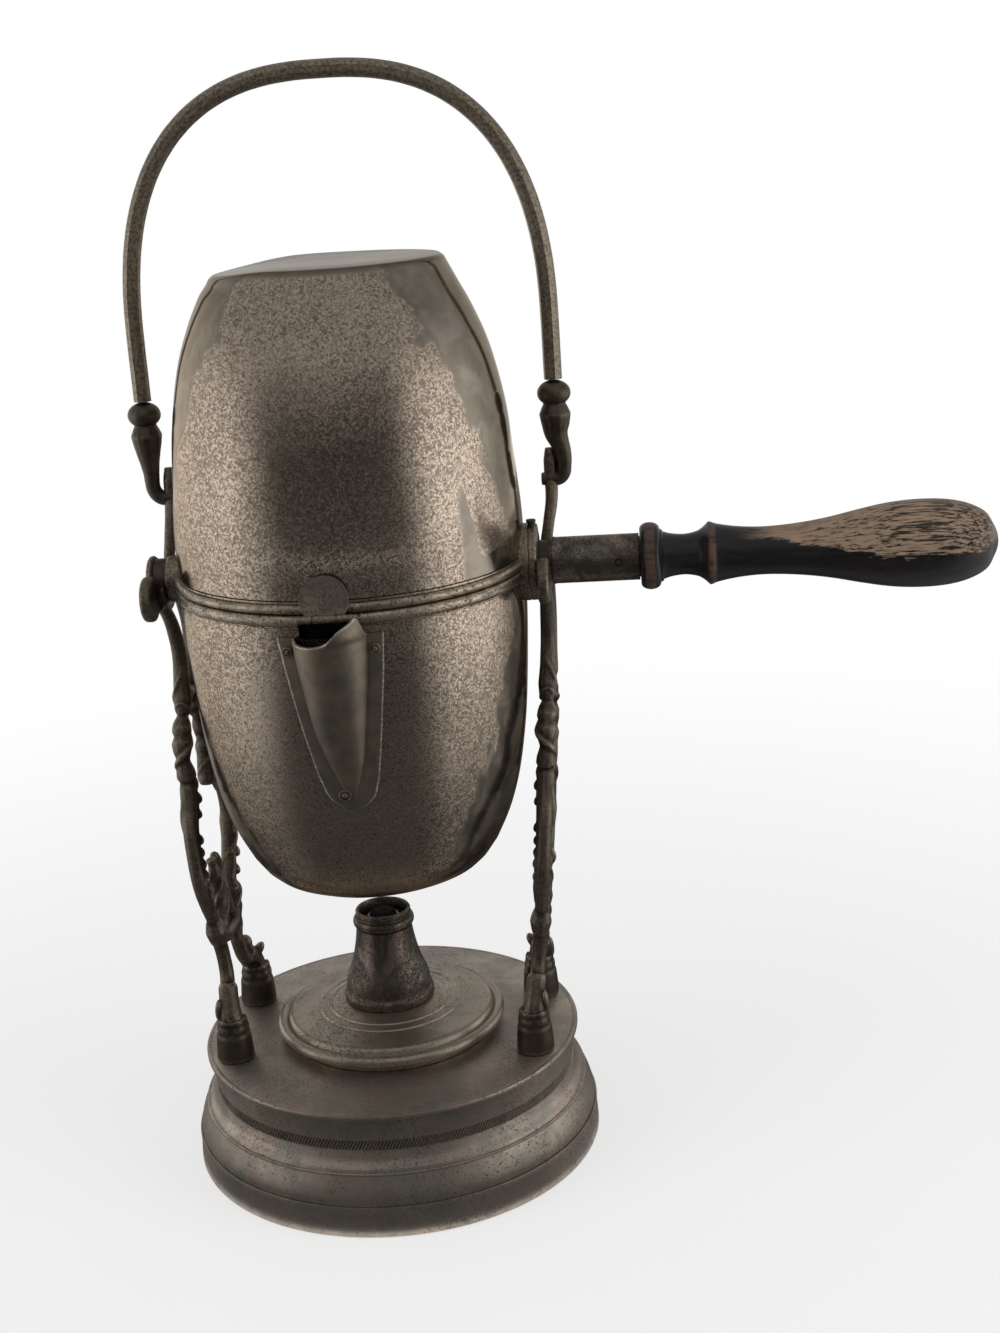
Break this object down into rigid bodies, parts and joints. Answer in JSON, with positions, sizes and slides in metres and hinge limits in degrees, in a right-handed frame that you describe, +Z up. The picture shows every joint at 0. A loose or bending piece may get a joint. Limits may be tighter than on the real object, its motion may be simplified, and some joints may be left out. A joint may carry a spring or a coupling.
{
  "type": "tilting coffee pot on stand",
  "caption": "Egg-shaped drip coffee pot hung between cast side frames over a round spirit-lamp base, with a turned side handle, a capped spout and an arched carrying bail.",
  "frame": {"origin": "centre of the base's flat underside", "axes": "+Z up, +X along the wooden handle, -Y towards the spout"},
  "size_m": [0.3237, 0.1622, 0.4199],
  "materials": {
    "plated_metal": "aged plate over brass, warm dark grey, finely pitted",
    "base_metal": "dull darkened plate with faint turning marks",
    "cast_metal": "dark olive-brown aged casting, worn bright on its edges",
    "tinned_sheet": "dull tinned sheet, out of sight",
    "black_wood": "black lacquered turned wood, worn to brown on its swell and edges",
    "cotton": "woven cotton wick"
  },
  "bodies": {
    "stand": {"base_pan": "base_metal", "base_shell": "base_metal", "burner_plate": "base_metal", "burner_cone": "plated_metal", "burner_ring": "plated_metal", "wick_tube": "tinned_sheet", "wick": "cotton", "lamp_reservoir": "tinned_sheet", "foot_front_left": "cast_metal", "foot_rear_left": "cast_metal", "foot_front_right": "cast_metal", "foot_rear_right": "cast_metal", "foot_screw_front_left": "tinned_sheet", "foot_screw_rear_left": "tinned_sheet", "foot_screw_front_right": "tinned_sheet", "foot_screw_rear_right": "tinned_sheet", "side_frame_left": "cast_metal", "side_frame_right": "cast_metal"},
    "pot": {"boiler_shell": "plated_metal", "boiler_rim": "plated_metal", "coffee_basket": "tinned_sheet", "basket_lid": "tinned_sheet", "trunnion_left": "cast_metal", "trunnion_right": "cast_metal", "collar_screw": "cast_metal", "handle_ferrule": "plated_metal", "ferrule_pin": "cast_metal", "handle_grip": "black_wood"},
    "server": {"server_shell": "plated_metal", "server_rim": "plated_metal", "spout": "plated_metal", "spout_rivet_left": "cast_metal", "spout_rivet_right": "cast_metal", "spout_rivet_low": "cast_metal", "hinge_leaf": "plated_metal", "hinge_pin": "cast_metal"},
    "flap": {"spout_flap": "plated_metal"},
    "bail": {"bail_rod": "cast_metal", "bail_hook_left": "cast_metal", "bail_hook_right": "cast_metal"}
  },
  "joints": [
    {"name": "pot_tilt", "type": "hinge", "parent": "stand", "child": "pot", "pos_m": [0, 0, 0.2355], "axis": [1, 0, 0], "continuous": true},
    {"name": "server_twist", "type": "hinge", "parent": "pot", "child": "server", "pos_m": [0, 0, 0.2355], "axis": [0, 0, 1], "range_deg": [0, 20]},
    {"name": "flap_hinge", "type": "hinge", "parent": "server", "child": "flap", "pos_m": [0, -0.0716, 0.2355], "axis": [1, 0, 0], "range_deg": [0, 106]},
    {"name": "bail_swing", "type": "hinge", "parent": "stand", "child": "bail", "pos_m": [0, 0.021, 0.2625], "axis": [1, 0, 0], "range_deg": [-150, 105]}
  ]
}
